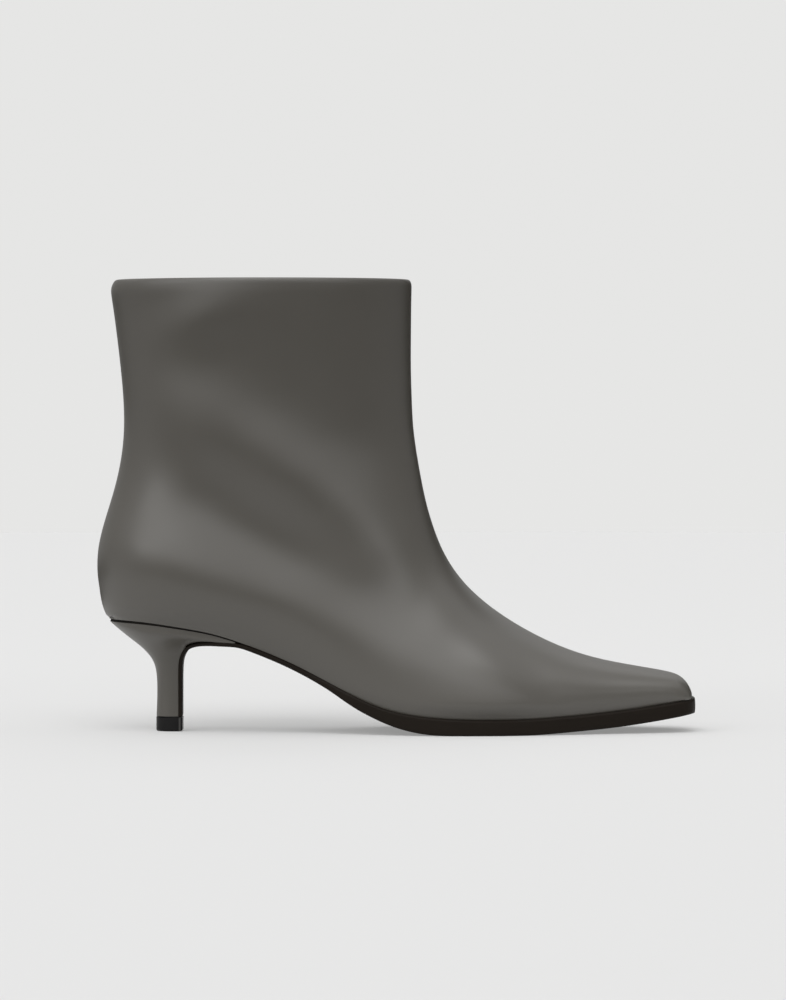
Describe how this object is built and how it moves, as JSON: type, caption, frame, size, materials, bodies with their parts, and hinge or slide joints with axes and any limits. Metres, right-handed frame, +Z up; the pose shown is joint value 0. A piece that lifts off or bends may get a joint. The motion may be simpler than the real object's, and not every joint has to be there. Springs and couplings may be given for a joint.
{
  "type": "ankle boot",
  "caption": "Square-toe ankle boot for the right foot, with a hollow leather upper open at the collar, an insole, a thin shaped sole and a slim covered heel on a small top piece.",
  "frame": {"origin": "on the floor, under the middle of the boot's length and width", "axes": "+X towards the toe, +Y towards the inner side of the foot, +Z up"},
  "size_m": [0.265, 0.0822, 0.2],
  "materials": {
    "upper_leather": "satin",
    "insole_sock": "matt",
    "dark_sole": "satin",
    "heel_leather": "satin",
    "black_lift": "satin"
  },
  "bodies": {
    "root": {"upper": "upper_leather", "insole": "insole_sock", "outsole": "dark_sole", "heel": "heel_leather", "top_piece": "black_lift"}
  },
  "joints": []
}
